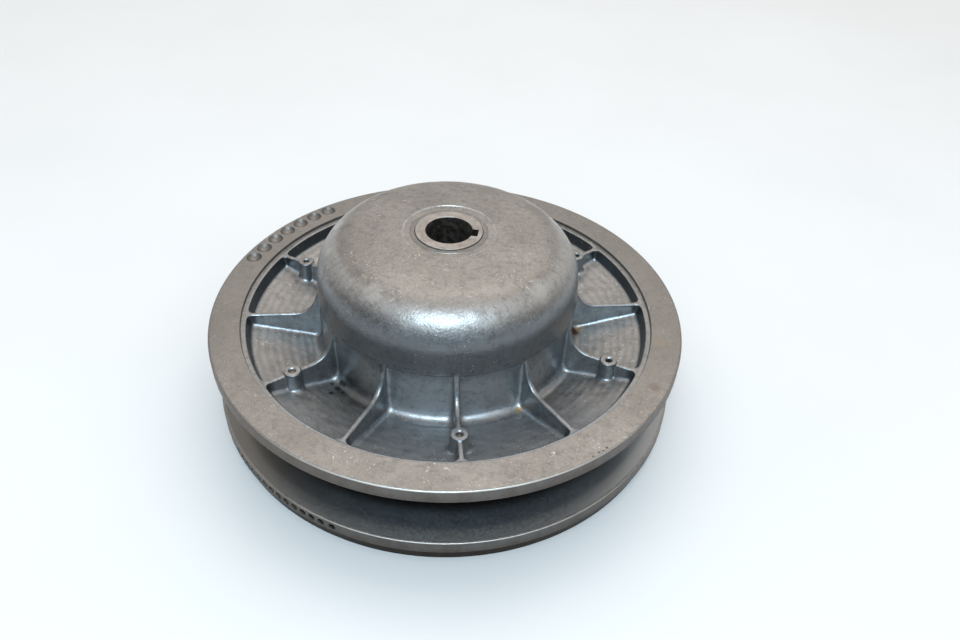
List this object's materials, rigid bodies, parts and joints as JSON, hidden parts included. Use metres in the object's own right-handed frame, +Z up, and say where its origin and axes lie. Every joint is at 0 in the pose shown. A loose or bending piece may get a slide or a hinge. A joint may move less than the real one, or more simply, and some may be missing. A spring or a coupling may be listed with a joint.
{
  "type": "cvt pulley set",
  "caption": "Driven pulley of a belt CVT: a domed fixed sheave on a keyed post over a spring-loaded moving sheave, with a belt groove between them.",
  "frame": {"origin": "centre of the resting plane, under the moving sheave, on the shaft axis", "axes": "+Z up along the shaft axis from the moving sheave to the dome, -Y towards the viewer, +X to the viewer's right"},
  "size_m": [0.2688, 0.2688, 0.1091],
  "materials": {
    "cast_alloy": "cast and turned, worn",
    "dark_alloy": "as cast",
    "post_steel": "turned, lightly tarnished",
    "spring_steel": "black oxide",
    "zinc_steel": "zinc plated",
    "bushing_bronze": "satin",
    "nylon": "moulded"
  },
  "bodies": {
    "moving_half": {"moving_sheave": "cast_alloy", "upper_bushing": "bushing_bronze", "lower_bushing": "bushing_bronze", "cam_ring": "dark_alloy", "cam_screw_1": "zinc_steel", "cam_screw_2": "zinc_steel", "cam_screw_3": "zinc_steel", "cam_screw_4": "zinc_steel", "cam_screw_5": "zinc_steel", "cam_screw_6": "zinc_steel"},
    "spring_seat": {"spring_thrust_washer": "nylon", "torsion_spring": "spring_steel"},
    "fixed_half": {"fixed_sheave": "cast_alloy", "hub_post": "post_steel", "stop_washer": "nylon", "torque_bracket": "dark_alloy", "bracket_key": "post_steel", "ramp_shoe_1": "nylon", "ramp_shoe_2": "nylon", "ramp_shoe_3": "nylon", "shoe_screw_1": "zinc_steel", "shoe_screw_2": "zinc_steel", "shoe_screw_3": "zinc_steel", "end_washer": "zinc_steel", "retaining_ring": "spring_steel"}
  },
  "joints": [
    {"name": "cam_turn", "type": "hinge", "parent": "moving_half", "child": "spring_seat", "pos_m": [0, 0, 0], "axis": [0, 0, 1], "range_deg": [0, 38]},
    {"name": "shift_slide", "type": "slide", "parent": "spring_seat", "child": "fixed_half", "axis": [0, 0, 1], "range_m": [0, 0.024], "stiffness_N_per_m": 2500, "springref_m": -0.03, "deforming": ["torsion_spring"]}
  ],
  "couplings": [
    {"joint": "cam_turn", "follows": "shift_slide", "rad_per_m": 27.528}
  ]
}
